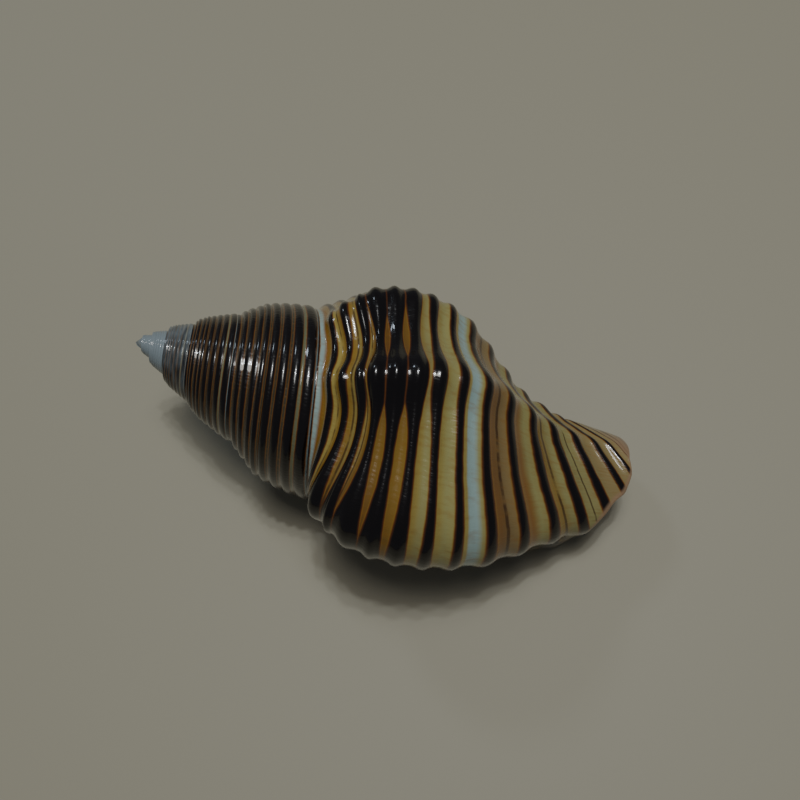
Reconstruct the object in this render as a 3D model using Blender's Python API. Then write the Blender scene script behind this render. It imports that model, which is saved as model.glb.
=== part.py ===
"""A waved whelk shell, 36 mm long, lying on its mouth as a collector lays one down.

The shell is one grown piece. It is modelled as it grew: a chain of edges, the whorl's outline,
is extruded turn by turn from the tip to the lip, widening as it goes, and each whorl is joined
to the one before along the suture. A second, smaller sweep then hollows out the mouth.

Shell lengths are millimetres in the shell's own frame, where the coiling axis is Z, the tip is
at the origin and the whorls grow towards +Z. The finished solid is laid on the surface z = 0.
"""

import math

import bmesh
import bpy
from mathutils import Matrix, Vector

MM = 0.001
WELD = 1e-4

# Growth. Sizes shrink from the lip back to the tip as exp(rate * turn + bend * turn * turn),
# where turn is 0 at the lip and negative before it.
RADIAL_RATE, RADIAL_BEND = 0.332, -0.031
AXIAL_RATE, AXIAL_BEND = 0.584, 0.013
EARLY_TURN = -0.4       # up to here the shell grew a little larger than the rates give
EARLY_WIDER, EARLY_LONGER = 0.031, 0.004
WHORLS = 5
STEPS_PER_WHORL = 32

# The whorl's outline at the lip: distance from the axis and distance from the tip. The first
# point is the suture, the next fifteen are the crests of the spiral cords, and the last is
# where the cords end, above the canal.
OUTLINE = (
    (6.47, 15.69),
    (7.36, 16.86), (8.16, 17.96), (8.86, 19.13), (9.39, 20.06), (9.68, 21.41),
    (9.82, 22.98), (9.74, 24.66), (9.43, 26.53), (8.78, 28.71), (7.49, 31.18),
    (6.03, 33.80), (4.84, 36.40), (4.31, 38.80), (3.94, 40.98), (3.84, 42.56),
    (3.83, 43.45),
)
LAST_CORD = 15
OUTLINE_END = 16
HALF_CORD = 0.25        # either side of a place, to read which way the outline faces there
SUTURE_CORD = 8.5       # the next whorl is laid on the hollow between cords 8 and 9
MEETING_CORD = 2

# A cord's crest stands this far above the hollow beside it, except where the lip runs smooth.
CORD_RELIEF = 0.36
RELIEF_FADE = 2
SMOOTH_LIP, SMOOTH_CORD, SMOOTH_TURN = 0.6, 10.0, 0.08

# The spire's whorls are wider than the last one just above the suture, and less so where they
# bulge: how much, from which turn, and over how many turns it comes in.
FULL_START, FULL_TURNS, FULL_CORDS = -0.62, 0.38, 3.5
FULLNESS, FULLNESS_POWER = 0.133, 4
MORE_START, MORE_FULLNESS = -1.4, 0.052
FLAT_START, FLATNESS = -1.0, 0.081

# The lip isn't straight: towards the canal it lags behind, in degrees, from cord to cord.
LIP_LAG_START = 10
LIP_LAG = (0.0, -10.0, -45.0, -70.0, -86.0, -107.0, -126.0)
LAG_TURNS = 0.9

# Folds that run along the shell: angle before the lip, height, half width and slant, which is
# the angle by which a fold turns from one cord to the next.
FOLDS = (
    (-57.3, 2.71, 21.0, -0.48),
    (-119.3, 0.96, 9.2, -2.38),
    (-158.8, 1.38, 11.5, -3.17),
    (-223.3, 0.8, 9.0, -1.0),
    (-268.0, 0.8, 10.0, -1.5),
    (-312.0, 0.6, 10.0, -1.5),
    (-352.0, 0.4, 10.0, -1.5),
)
FOLD_CORD, FOLD_SLANT_CORD = 4.6, 5.0
FOLD_SPREAD_ABOVE, FOLD_SPREAD_BELOW = 9.0, 7.6
FOLDS_START, FOLDS_TURNS = -1.4, 0.4

# The pillar that the whorls wind round, from the end of the cords to the canal's end.
PILLAR_STEPS = 4
PILLAR_RADIUS, PILLAR_RATE = 2.71, 0.83
PILLAR_REACH, PILLAR_NOTCH = 35.6, 0.91
NOTCH_TURN = 0.45
PILLAR_TWIST = -46.0
PILLAR_FULLNESS = 2.55
CANAL_BEND, BEND_START, BEND_ANGLE = 0.46, 30.0, 166.0

# The spire leans a little: how far the tip stands off the axis, which way, and up to where.
LEAN, LEAN_ANGLE, LEAN_END = 0.84, 93.0, 12.0

# The surface that shuts the mouth before it is hollowed: how far in its first rows stand.
DOOR_SHARES = (0.12,)
DOOR_BIAS = 0.7
CANAL_PROUD, APEX_REACH = 0.25, 0.2

# The mouth's hollow: the wall's thickness, thinner at the lip and round the canal, the enamel
# laid on the pillar, and how deep the hollow runs.
WALL, THIN_WALL, THIN_CORD = 0.9, 0.5, 11.0
FLARE_TURN = 0.06
LIP_FOLLOW = 0.7
CALLUS = 0.25
HOLLOW_TURNS, HOLLOW_ROWS, ROW_GROWTH = 1.3, 34, 1.25
WALL_STEPS, COLUMELLA_STEPS = 22, 11
CORNER_CORD, CORNER_GAP = 1.2, 1.0
CANAL_START, CANAL_END = -0.42, -0.22
CHAMBER_FLOOR = 13.0
PILLAR_SHARE = 0.5
OVERRUN_TURN, OVERRUN = 0.12, 3.0

# Teeth on the inside of the lip, one to each cord.
TOOTH, TOOTH_TURN, TOOTH_WIDTH, TOOTH_CORD = 0.35, -0.05, 0.03, 12.0

# How the shell lies: turned about its axis, then dipped at the canal, then worn flat where
# it touches.
REST_ROLL = -61.0
REST_DIP = 15.6
WORN_FLAT = 0.12

SHELL_COLOUR = (0.30, 0.17, 0.05, 1.0)
SHELL_ROUGHNESS = 0.25


def smooth(x):
    x = min(max(x, 0.0), 1.0)
    return x * x * (3 - 2 * x)


def growth(turn):
    """Scale of the radius and of the distance from the tip, against the lip's."""
    early = 1 - smooth(1 - turn / EARLY_TURN)
    wide = math.exp(RADIAL_RATE * turn + RADIAL_BEND * turn * turn)
    long = math.exp(AXIAL_RATE * turn + AXIAL_BEND * turn * turn)
    return wide * (1 + EARLY_WIDER * early), long * (1 + EARLY_LONGER * early)


def between(points, place):
    """A smooth curve through evenly numbered points, read at a place such as 2.5."""
    first = min(max(int(math.floor(place)), 0), len(points) - 2)
    x = place - first
    near = [points[min(max(first + step, 0), len(points) - 1)] for step in (-1, 0, 1, 2)]
    weights = (
        -0.5 * x + x * x - 0.5 * x**3,
        1 - 2.5 * x * x + 1.5 * x**3,
        0.5 * x + 2 * x * x - 1.5 * x**3,
        -0.5 * x * x + 0.5 * x**3,
    )
    return [sum(w * p[axis] for w, p in zip(weights, near)) for axis in range(len(points[0]))]


def lag(turn, cord):
    """How far a growth line lags at a cord, in turns. Most of a whorl back the lag is gone."""
    steps = tuple((value,) for value in LIP_LAG)
    place = min(max(cord - LIP_LAG_START, 0.0), len(LIP_LAG) - 1.0)
    return between(steps, place)[0] / 360 * smooth(turn / LAG_TURNS + 1)


def fold_height(turn, cord):
    degrees = 360 * turn
    spread = FOLD_SPREAD_ABOVE if cord < FOLD_CORD else FOLD_SPREAD_BELOW
    share = math.exp(-(((cord - FOLD_CORD) / spread) ** 2))
    height = 0.0
    for angle, rise, width, slant in FOLDS:
        away = (degrees - angle - slant * (cord - FOLD_SLANT_CORD)) / width
        height += rise * math.exp(-away * away)
    return height * share * smooth((turn - FOLDS_START) / FOLDS_TURNS)


def fullness(turn, cord):
    """The spire's whorls keep their width down to the suture, so their sides run flatter."""
    if cord <= SUTURE_CORD:
        share = (cord / SUTURE_CORD) ** FULLNESS_POWER
    else:
        share = 1 - smooth((cord - SUTURE_CORD) / FULL_CORDS)
    fuller = FULLNESS + MORE_FULLNESS * smooth(MORE_START - turn)
    fuller *= share * smooth((FULL_START - turn) / FULL_TURNS)
    middle = math.sin(math.pi * min(cord / SUTURE_CORD, 1.0))
    return (1 + fuller) * (1 - FLATNESS * middle * smooth(FLAT_START - turn))


def outline_point(turn, cord, rise=0.0):
    """(radius, distance from the tip, angle) on the whorl's outline, rise mm proud of it."""
    grown = turn + lag(turn, cord)
    wide, long = growth(grown)
    radius, reach = between(OUTLINE, cord)
    ahead = between(OUTLINE, min(cord + HALF_CORD, OUTLINE_END))
    behind = between(OUTLINE, max(cord - HALF_CORD, 0.0))
    out = Vector(((ahead[1] - behind[1]) * long, (behind[0] - ahead[0]) * wide)).normalized()
    radius = radius * wide * fullness(turn, cord) + rise * out.x
    return radius, reach * long + rise * out.y, 2 * math.pi * grown


def in_space(radius, reach, angle):
    """A point in the shell's frame. The canal and the spire each bend a little to one side."""
    bend = CANAL_BEND * max(0.0, (reach - BEND_START) / (PILLAR_REACH - BEND_START)) ** 2
    lean = LEAN * max(0.0, 1 - reach / LEAN_END) ** 2
    around = ((radius, angle), (bend, math.radians(BEND_ANGLE)), (lean, math.radians(LEAN_ANGLE)))
    return Vector((
        sum(far * math.cos(turned) for far, turned in around),
        sum(far * math.sin(turned) for far, turned in around),
        reach,
    ))


def pillar_point(turn, share, rise=0.0):
    """A point on the pillar, from the end of the cords (share 0) to the canal's end (1)."""
    radius, reach, angle = outline_point(turn, OUTLINE_END)
    end_radius = PILLAR_RADIUS * math.exp(PILLAR_RATE * turn)
    end_reach = PILLAR_REACH - PILLAR_NOTCH * smooth(-turn / NOTCH_TURN)
    return in_space(
        radius + (end_radius - radius) * share**PILLAR_FULLNESS + rise,
        reach + (end_reach - reach) * share,
        angle + math.radians(PILLAR_TWIST) * share * share,
    )


def relief(turn, cord):
    """Depth of the hollow between two cords."""
    fade = smooth((LAST_CORD + 1 - cord) / RELIEF_FADE)
    fade *= 1 - SMOOTH_LIP * smooth(cord - SMOOTH_CORD) * smooth(1 + turn / SMOOTH_TURN)
    return CORD_RELIEF * growth(turn)[0] * fade * math.sin(math.pi * cord) ** 2


def laid_point(turn, place):
    rise = fold_height(turn + lag(turn, place), place) - relief(turn, place)
    return in_space(*outline_point(turn, place, rise))


def outer_point(turn, place):
    """A point of the outer surface. Past the end of the cords, place runs down the pillar."""
    if place > OUTLINE_END:
        return pillar_point(turn, (place - OUTLINE_END) / PILLAR_STEPS)
    if place >= MEETING_CORD:
        return laid_point(turn, place)
    # The first cords are laid on the whorl before, wherever that has reached.
    suture = outer_point(turn - 1, SUTURE_CORD)
    shift = (suture - laid_point(turn, 0)) * (1 - smooth(place / MEETING_CORD))
    return laid_point(turn, place) + shift if place else suture


def chain(bm, places, turn, place_of):
    """A row of vertices joined by edges, each of which remembers its place in the outline."""
    tag = bm.verts.layers.float.get("place") or bm.verts.layers.float.new("place")
    row = []
    for place in places:
        vert = bm.verts.new(place_of(turn, place))
        vert[tag] = place
        row.append(vert)
    return [bm.edges.new(pair) for pair in zip(row, row[1:])]


def grow(bm, edges, turns, place_of):
    """Extrudes a row of edges from turn to turn, as a shell grows at its lip."""
    tag = bm.verts.layers.float["place"]
    for turn in turns:
        made = bmesh.ops.extrude_edge_only(bm, edges=edges)["geom"]
        fresh = {item for item in made if isinstance(item, bmesh.types.BMVert)}
        for vert in fresh:
            vert.co = place_of(turn, vert[tag])
        edges = [
            item
            for item in made
            if isinstance(item, bmesh.types.BMEdge) and set(item.verts) <= fresh
        ]
    return edges


def row_at(bm, edges):
    """The vertices of a row of edges, in order along the outline."""
    tag = bm.verts.layers.float["place"]
    return sorted({vert for edge in edges for vert in edge.verts}, key=lambda vert: vert[tag])


def stitch(bm, left, right):
    """Joins two rows with triangles, each as short as it can be."""
    i = j = 0
    while i < len(left) - 1 or j < len(right) - 1:
        on_left = (left[i + 1].co - right[j].co).length if i < len(left) - 1 else math.inf
        on_right = (right[j + 1].co - left[i].co).length if j < len(right) - 1 else math.inf
        if on_left < on_right:
            bm.faces.new((left[i], left[i + 1], right[j]))
            i += 1
        else:
            bm.faces.new((left[i], right[j + 1], right[j]))
            j += 1


def door_point(share, place):
    """A point on the surface that shuts the mouth, share of the way in from the lip."""
    across = (place / (OUTLINE_END + PILLAR_STEPS)) ** DOOR_BIAS
    inner = SUTURE_CORD + (OUTLINE_END + PILLAR_STEPS - SUTURE_CORD) * across
    return outer_point(0.0, place).lerp(outer_point(-1.0, inner), share)


def close_ends(bm):
    """Fills the open rims at the tip of the spire and at the canal, each with a fan."""
    rims = [edge for edge in bm.edges if edge.is_boundary]
    for face in bmesh.ops.holes_fill(bm, edges=rims, sides=0)["faces"]:
        middle = face.calc_center_median() + Vector((0, 0, CANAL_PROUD))
        at_canal = middle.z > PILLAR_REACH / 2
        hub = bmesh.ops.poke(bm, faces=[face])["verts"][0]
        hub.co = middle if at_canal else in_space(0.0, APEX_REACH, 0.0)


def to_object(bm, name):
    bmesh.ops.remove_doubles(bm, verts=bm.verts, dist=WELD)
    bmesh.ops.dissolve_degenerate(bm, edges=bm.edges, dist=WELD)
    bmesh.ops.triangulate(bm, faces=bm.faces)
    bmesh.ops.recalc_face_normals(bm, faces=bm.faces)
    mesh = bpy.data.meshes.new(name)
    bm.to_mesh(mesh)
    bm.free()
    thing = bpy.data.objects.new(name, mesh)
    bpy.context.scene.collection.objects.link(thing)
    return thing


def whorls():
    """The whole outside of the shell, with the mouth still shut."""
    step = 1 / STEPS_PER_WHORL
    places = [half / 2 for half in range(2 * OUTLINE_END + 1)]
    places += [OUTLINE_END + 1 + index for index in range(PILLAR_STEPS)]
    suture = places.index(SUTURE_CORD)
    spire_turns = [-WHORLS + step * (i + 1) for i in range((WHORLS - 1) * STEPS_PER_WHORL)]
    last_turns = [-1 + step * (i + 1) for i in range(STEPS_PER_WHORL)]

    bm = bmesh.new()
    spire = chain(bm, places[: suture + 1], -WHORLS, outer_point)
    spire = grow(bm, spire, spire_turns, outer_point)
    wall = chain(bm, places[suture:], -1.0, outer_point)
    inner = row_at(bm, wall)
    lip = grow(bm, spire + wall, last_turns, outer_point)
    rim = grow(bm, lip, DOOR_SHARES, door_point)
    stitch(bm, row_at(bm, rim), inner)
    bmesh.ops.remove_doubles(bm, verts=bm.verts, dist=WELD)
    close_ends(bm)
    return to_object(bm, "shell")


def hollow_point(turn, place):
    """A point of the mouth's hollow: down the outer wall, then back up the pillar."""
    canal = smooth((turn - CANAL_START) / (CANAL_END - CANAL_START))
    floor = CHAMBER_FLOOR + (OUTLINE_END - CHAMBER_FLOOR) * canal
    lip = smooth((turn + FLARE_TURN) / FLARE_TURN)
    size = growth(turn)[0]

    def outer_side(share):
        cord = CORNER_CORD + (floor - CORNER_CORD) * share
        thin = max(lip, smooth((cord - THIN_CORD) / 3))
        wall = (WALL + (THIN_WALL - WALL) * thin) * size
        tooth = TOOTH * math.exp(-(((turn - TOOTH_TURN) / TOOTH_WIDTH) ** 2))
        tooth *= math.cos(math.pi * cord) ** 2 * smooth((TOOTH_CORD - cord) / 2)
        bulge = LIP_FOLLOW * fold_height(turn + lag(turn, cord), cord)
        radius, reach, angle = outline_point(turn, cord, bulge - wall - tooth)
        return radius, reach, angle

    if place <= WALL_STEPS:
        return in_space(*outer_side(place / WALL_STEPS))
    radius, reach, angle = outer_side(1)
    reach += OVERRUN * canal
    if place == WALL_STEPS + 1:
        return in_space(radius, reach, angle)
    share = (place - WALL_STEPS - 2) / (COLUMELLA_STEPS - 1)
    callus = CALLUS * size
    if share < PILLAR_SHARE:
        start = outline_point(turn - 1, OUTLINE_END)[1]
        deep = (reach - start) / (PILLAR_REACH - PILLAR_NOTCH - start)
        return pillar_point(turn - 1, deep * (1 - share / PILLAR_SHARE), callus)
    up = (share - PILLAR_SHARE) / (1 - PILLAR_SHARE)
    cord = OUTLINE_END + (SUTURE_CORD + CORNER_GAP - OUTLINE_END) * up
    return in_space(*outline_point(turn - 1, cord, callus))


def hollow():
    """What is taken out of the whorls to open the mouth and the canal."""
    bm = bmesh.new()
    span = OVERRUN_TURN + HOLLOW_TURNS
    shares = [((row + 1) / HOLLOW_ROWS) ** ROW_GROWTH for row in range(HOLLOW_ROWS)]
    turns = [OVERRUN_TURN - span * share for share in shares]
    ring = chain(bm, range(WALL_STEPS + 2 + COLUMELLA_STEPS), OVERRUN_TURN, hollow_point)
    front = row_at(bm, ring)
    ring.append(bm.edges.new((front[-1], front[0])))
    back = row_at(bm, grow(bm, ring, turns, hollow_point))
    for row in (front, back):
        stitch(bm, row[: WALL_STEPS + 2], row[: WALL_STEPS + 1 : -1])
    return to_object(bm, "hollow")


def open_mouth(shell, cutter):
    cut = shell.modifiers.new("mouth", "BOOLEAN")
    cut.operation, cut.solver, cut.object = "DIFFERENCE", "EXACT", cutter
    graph = bpy.context.evaluated_depsgraph_get()
    mesh = bpy.data.meshes.new_from_object(shell.evaluated_get(graph))
    shell.modifiers.clear()
    shell.data = mesh
    bpy.data.objects.remove(cutter)


def lay_down(shell):
    """Lays the shell on its mouth, wears it flat where it touches, and centres it."""
    bm = bmesh.new()
    bm.from_mesh(shell.data)
    lay = Matrix.Rotation(math.radians(90 + REST_DIP), 3, "Y")
    lay = lay @ Matrix.Rotation(math.radians(REST_ROLL), 3, "Z")
    bmesh.ops.transform(bm, matrix=lay.to_4x4() @ Matrix.Scale(MM, 4), verts=bm.verts)
    low = min(vert.co.z for vert in bm.verts) + WORN_FLAT * MM
    bmesh.ops.bisect_plane(
        bm, geom=bm.verts[:] + bm.edges[:] + bm.faces[:], dist=WELD * MM,
        plane_co=(0, 0, low), plane_no=(0, 0, -1), clear_outer=True,
    )
    rims = [edge for edge in bm.edges if edge.is_boundary]
    bmesh.ops.holes_fill(bm, edges=rims, sides=0)
    bmesh.ops.triangulate(bm, faces=bm.faces)
    ends = [[pick(vert.co[axis] for vert in bm.verts) for pick in (min, max)] for axis in (0, 1)]
    middle = Vector((sum(ends[0]) / 2, sum(ends[1]) / 2, low))
    bmesh.ops.translate(bm, vec=-middle, verts=bm.verts)
    bm.to_mesh(shell.data)
    bm.free()


def finish(shell):
    material = bpy.data.materials.new("shell")
    material.use_nodes = True
    surface = material.node_tree.nodes["Principled BSDF"]
    surface.inputs["Base Color"].default_value = SHELL_COLOUR
    surface.inputs["Roughness"].default_value = SHELL_ROUGHNESS
    shell.data.materials.clear()
    shell.data.materials.append(material)


for thing in list(bpy.data.objects):
    bpy.data.objects.remove(thing)
shell = whorls()
open_mouth(shell, hollow())
lay_down(shell)
finish(shell)
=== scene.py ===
"""The finish of a waved whelk shell: its spiral cords, folds, bands of colour and gloss.

The shell is grown as a sea snail grows it: a row of edges, the whorl's outline, is extruded turn
by turn from the tip to the lip, and a second sweep hollows out the mouth. Every corner of the
mesh remembers when it grew and between which cords it lies, and the colours follow that.

Shell lengths are millimetres in the shell's own frame, where the coiling axis is Z, the tip is
at the origin and the whorls grow towards +Z.
"""

import math

import bmesh
import bpy
from mathutils import Matrix, Vector, noise


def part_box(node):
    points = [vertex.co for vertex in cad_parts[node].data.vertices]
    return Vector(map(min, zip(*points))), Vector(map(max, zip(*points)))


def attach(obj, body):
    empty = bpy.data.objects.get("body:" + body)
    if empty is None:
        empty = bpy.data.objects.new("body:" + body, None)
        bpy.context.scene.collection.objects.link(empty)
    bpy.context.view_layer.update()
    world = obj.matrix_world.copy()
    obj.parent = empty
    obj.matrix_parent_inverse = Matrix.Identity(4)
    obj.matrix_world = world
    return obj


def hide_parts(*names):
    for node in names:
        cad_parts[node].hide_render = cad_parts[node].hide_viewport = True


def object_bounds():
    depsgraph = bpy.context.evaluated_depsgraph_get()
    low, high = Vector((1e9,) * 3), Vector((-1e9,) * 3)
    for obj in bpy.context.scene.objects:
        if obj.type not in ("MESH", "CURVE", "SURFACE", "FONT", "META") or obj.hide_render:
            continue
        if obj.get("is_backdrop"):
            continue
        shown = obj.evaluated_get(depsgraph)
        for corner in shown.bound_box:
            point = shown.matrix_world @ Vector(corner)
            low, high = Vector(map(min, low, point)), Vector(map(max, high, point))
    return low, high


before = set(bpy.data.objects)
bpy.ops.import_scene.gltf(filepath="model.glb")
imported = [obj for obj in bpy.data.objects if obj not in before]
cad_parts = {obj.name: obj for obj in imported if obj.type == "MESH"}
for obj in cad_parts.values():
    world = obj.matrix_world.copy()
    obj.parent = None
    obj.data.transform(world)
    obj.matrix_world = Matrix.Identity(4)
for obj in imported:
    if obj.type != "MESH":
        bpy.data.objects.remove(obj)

bl_info = {
    "name": "Waved whelk shell",
    "version": (1, 0, 0),
    "blender": (4, 5, 0),
    "location": "3D Viewport > Sidebar > Shell",
    "description": "Grows a glossy banded sea snail shell and sets it on a pale table",
    "category": "Add Mesh",
}

SOLID = "shell"
PIECE = "whelk_shell"
MM = 0.001
WELD = 1e-4

# Growth. Sizes shrink from the lip back to the tip as exp(rate * turn + bend * turn * turn),
# where turn is 0 at the lip and negative before it.
RADIAL_RATE, RADIAL_BEND = 0.332, -0.031
AXIAL_RATE, AXIAL_BEND = 0.584, 0.013
EARLY_TURN = -0.4
EARLY_WIDER, EARLY_LONGER = 0.031, 0.004
WHORLS = 6

# The whorl's outline at the lip: distance from the axis and distance from the tip. The first
# point is the suture, the next fifteen are the crests of the spiral cords, and the last is
# where the cords end, above the canal.
OUTLINE = (
    (6.47, 15.69),
    (7.36, 16.86), (8.16, 17.96), (8.86, 19.13), (9.39, 20.06), (9.68, 21.41),
    (9.82, 22.98), (9.74, 24.66), (9.43, 26.53), (8.78, 28.71), (7.49, 31.18),
    (6.03, 33.80), (4.84, 36.40), (4.31, 38.80), (3.94, 40.98), (3.84, 42.56),
    (3.83, 43.45),
)
LAST_CORD = 15
OUTLINE_END = 16
HALF_CORD = 0.25
SUTURE_CORD = 8.5
MEETING_CORD = 2

# The spire's whorls are wider than the last one just above the suture, and less so where they
# bulge: how much, from which turn, and over how many turns it comes in.
FULL_START, FULL_TURNS, FULL_CORDS = -0.62, 0.38, 3.5
FULLNESS, FULLNESS_POWER = 0.133, 4
MORE_START, MORE_FULLNESS = -1.4, 0.052
FLAT_START, FLATNESS = -1.0, 0.081

# Where the cords change from the last whorl's narrow ones to the spire's broad ones, the powers
# that shape them, and the fine thread between two cords.
SPIRE_CORDS_FROM = 0.6
CORD_FLATNESS, SPIRE_CORD_FLATNESS = 2.0, 3.2
THREAD, THREAD_WIDTH = 0.16, 0.1
RELIEF_FADE = 2
SMOOTH_LIP, SMOOTH_CORD, SMOOTH_TURN = 0.6, 10.0, 0.08

# Slow swells, and the rounding of the lip's edge.
SWELL, SWELL_RATE, SWELL_CORDS = 0.05, 1.7, 0.35
LIP_ROUND, LIP_ROUND_TURN = 0.16, 0.004

# The lip isn't straight: towards the canal it lags behind, in degrees, from cord to cord.
LIP_LAG_START = 10
LIP_LAG = ((0.0,), (-10.0,), (-45.0,), (-70.0,), (-86.0,), (-107.0,), (-126.0,))
LAG_TURNS = 0.9

# Folds that run along the shell: angle before the lip, height, half width and slant, which is
# the angle by which a fold turns from one cord to the next.
FOLDS = (
    (-57.3, 2.71, 21.0, -0.48),
    (-119.3, 0.96, 9.2, -2.38),
    (-158.8, 1.38, 11.5, -3.17),
    (-223.3, 0.8, 9.0, -1.0),
    (-268.0, 0.8, 10.0, -1.5),
    (-312.0, 0.6, 10.0, -1.5),
    (-352.0, 0.4, 10.0, -1.5),
)
FOLD_CORD, FOLD_SLANT_CORD = 4.6, 5.0
FOLD_SPREAD_ABOVE, FOLD_SPREAD_BELOW = 9.0, 7.6
FOLDS_START, FOLDS_TURNS = -1.4, 0.4

# The pillar that the whorls wind round, from the end of the cords to the canal's end.
PILLAR_RADIUS, PILLAR_RATE = 2.71, 0.83
PILLAR_REACH, PILLAR_NOTCH = 35.6, 0.91
NOTCH_TURN = 0.45
PILLAR_TWIST = -46.0
PILLAR_FULLNESS = 2.55
PILLAR_PLACES = 4
CANAL_BEND, BEND_START, BEND_ANGLE = 0.46, 30.0, 166.0

# The spire leans a little: how far the tip stands off the axis, which way, and up to where.
LEAN, LEAN_ANGLE, LEAN_END = 0.84, 93.0, 12.0

# The surface that shuts the mouth before it is hollowed.
DOOR_SHARES = (0.04, 0.12)
DOOR_BIAS = 0.7

# How far the fans that close the canal's end and the tip stand out in their middle.
CANAL_PROUD, TIP_PROUD = 0.25, 0.35

# Rows of the rounded lip, as parts of its width, and columns in one place of the pillar.
LIP_ROWS = (1, 2, 6)
PILLAR_COLUMNS = 4

# The mouth's hollow: the wall's thickness, thinner at the lip and round the canal, the enamel
# laid on the pillar, and how deep the hollow runs.
WALL, THIN_WALL, THIN_CORD, THIN_CORDS = 0.9, 0.5, 11.0, 3.0
FLARE_TURN = 0.06
LIP_FOLLOW = 0.7
CALLUS = 0.25
HOLLOW_TURNS, HOLLOW_ROWS, ROW_GROWTH = 1.3, 130, 1.35
CORNER_CORD, CORNER_GAP = 1.2, 1.0
CANAL_START, CANAL_END = -0.50, -0.28
HOLLOW_LAG = 0.6
CHAMBER_FLOOR = 13.0
PILLAR_SHARE = 0.5
OVERRUN_TURN, OVERRUN = 0.08, 2.0
TOOTH, TOOTH_TURN, TOOTH_WIDTH = 0.35, -0.05, 0.03
TOOTH_CORD, TOOTH_CORDS = 12.0, 2.0
WALL_STEPS, PILLAR_STEPS = 88, 30
PAST_CANAL = 1.5

# How the shell lies: turned about its axis, dipped at the canal and centred on its footprint.
REST_ROLL, REST_DIP = -61.0, 15.6
REST_SHIFT = Vector((17.7981, -1.1514, -11.771))
SHARP_ANGLE = 55.0

# The camera that the photograph was taken with, against the shell's own frame.
CAMERA_TURN = Vector((1.1207, 1.2617, 1.6096))
CAMERA_SHIFT = Vector((-18.6734, -4.1910, 62.5454))
FOCAL_PIXELS, PICTURE_PIXELS, SENSOR_MM = 905.4, 800, 36.0

# Half the width of the dark band at each place, in steps from cord to cord, from the suture to
# the canal's end.
BAND_WIDTHS = (
    0.05, 0.14, 0.12, 0.12, 0.14, 0.16, 0.14, 0.10, 0.085, 0.10, 0.105, 0.12, 0.13, 0.13, 0.12,
    0.11, 0.09, 0.11, 0.09, 0.07, 0.0,
)
LAST_PLACE = OUTLINE_END + PILLAR_PLACES
SPIRE_BAND_WIDTH = 0.31
WIDEST_BAND = 0.45

# What lies between the bands, as places from the suture down, on the last whorl and before it.
GROUND = (
    (0.00, "ice"), (0.30, "ice"), (0.45, "amber"), (0.75, "ochre"), (1.35, "straw"),
    (1.65, "ochre"), (2.35, "ochre"), (2.65, "straw"), (3.35, "straw"), (3.65, "ochre"),
    (4.40, "ochre"), (4.60, "ochre"), (5.40, "ochre"), (5.70, "ochre"), (6.40, "straw"),
    (6.60, "lichen"), (7.30, "straw"), (7.55, "lichen"), (8.28, "straw"), (8.36, "ice"),
    (8.64, "ice"), (8.72, "lichen"), (9.25, "amber"), (9.62, "sand"), (10.35, "amber"),
    (10.60, "lichen"), (11.35, "ochre"), (11.62, "lichen"), (12.50, "lichen"), (13.50, "sand"),
    (15.40, "sand"), (20.00, "coral"),
)
SPIRE_GROUND = (
    (0.0, "groove"), (6.95, "groove"), (7.25, "moss"), (7.85, "moss"), (8.15, "frost"),
    (20.0, "frost"),
)

# Where bands run together on and beside the folds: degrees before the lip, half width, slant
# from cord to cord, middle cord, how many cords either way, and how much wider the bands are.
STAINS = (
    (-116.0, 15.0, -2.4, 5.0, 2.0, 0.46),
    (-158.0, 15.0, -3.2, 4.6, 1.9, 0.44),
    (-48.0, 24.0, 0.0, 3.4, 2.5, 0.42),
    (-16.0, 15.0, 0.0, 10.8, 2.6, 0.20),
    (-223.0, 14.0, -1.0, 4.6, 2.2, 0.40),
    (-268.0, 14.0, -1.5, 4.6, 2.2, 0.40),
    (-312.0, 14.0, -1.5, 4.6, 2.2, 0.36),
)

# The gaps that turn brown towards the lip, in the same terms, with the share of brown last.
BROWNINGS = (
    (-10.0, 22.0, 0.0, 7.4, 1.1, 0.75),
    (-8.0, 20.0, 0.0, 10.5, 1.3, 0.55),
    (-119.0, 21.0, -2.4, 4.9, 1.7, 0.95),
    (-159.0, 20.0, -3.2, 4.6, 1.7, 0.90),
    (-55.0, 30.0, 0.0, 3.8, 2.4, 0.90),
    (-100.0, 300.0, 0.0, 9.45, 0.35, 0.45),
    (-100.0, 300.0, 0.0, 12.5, 2.2, 0.22),
)
STAIN_CORD = 5.0

# Thin brown lines that run down the middle of some gaps: place and half width.
GAP_LINES = ((1.5, 0.07), (2.5, 0.08), (3.42, 0.06), (9.5, 0.07), (11.42, 0.06), (12.5, 0.04))

# The colours from the middle of a dark band to its edge, how quickly they follow each other, and
# where the clear ground takes over.
PIGMENTS = (
    (0.0, "ink"), (0.24, "ink"), (0.42, "umber"), (0.62, "rust"), (0.82, "amber"), (1.0, "ochre"),
)
BAND_CONTRAST, BAND_EDGE = 6.0, 0.35
CLEAR_LEVELS = (0.66, 1.1)

# Noise along the whorls: grains in a turn, grains from cord to cord, detail and seed.
WAVE_NOISE = (9.0, 0.55, 3.0, 0.0)
RAGGED_NOISE = (70.0, 1.4, 2.0, 3.0)
PATCH_NOISE = (11.0, 0.8, 2.0, 7.0)
STREAK_NOISE = (170.0, 1.6, 2.0, 11.0)
LINE_NOISE = (230.0, 1.6, 2.0, 5.0)
GRAIN_NOISE = (70.0, 14.0, 3.0, 9.0)
NOISE_MIDDLE = 0.5

# How far the noise moves the bands, and how much its patches widen them and brown the gaps.
WAVINESS, RAGGEDNESS = 0.08, 0.05
BAND_PATCHES, BROWN_PATCHES = 0.07, 0.3

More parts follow.
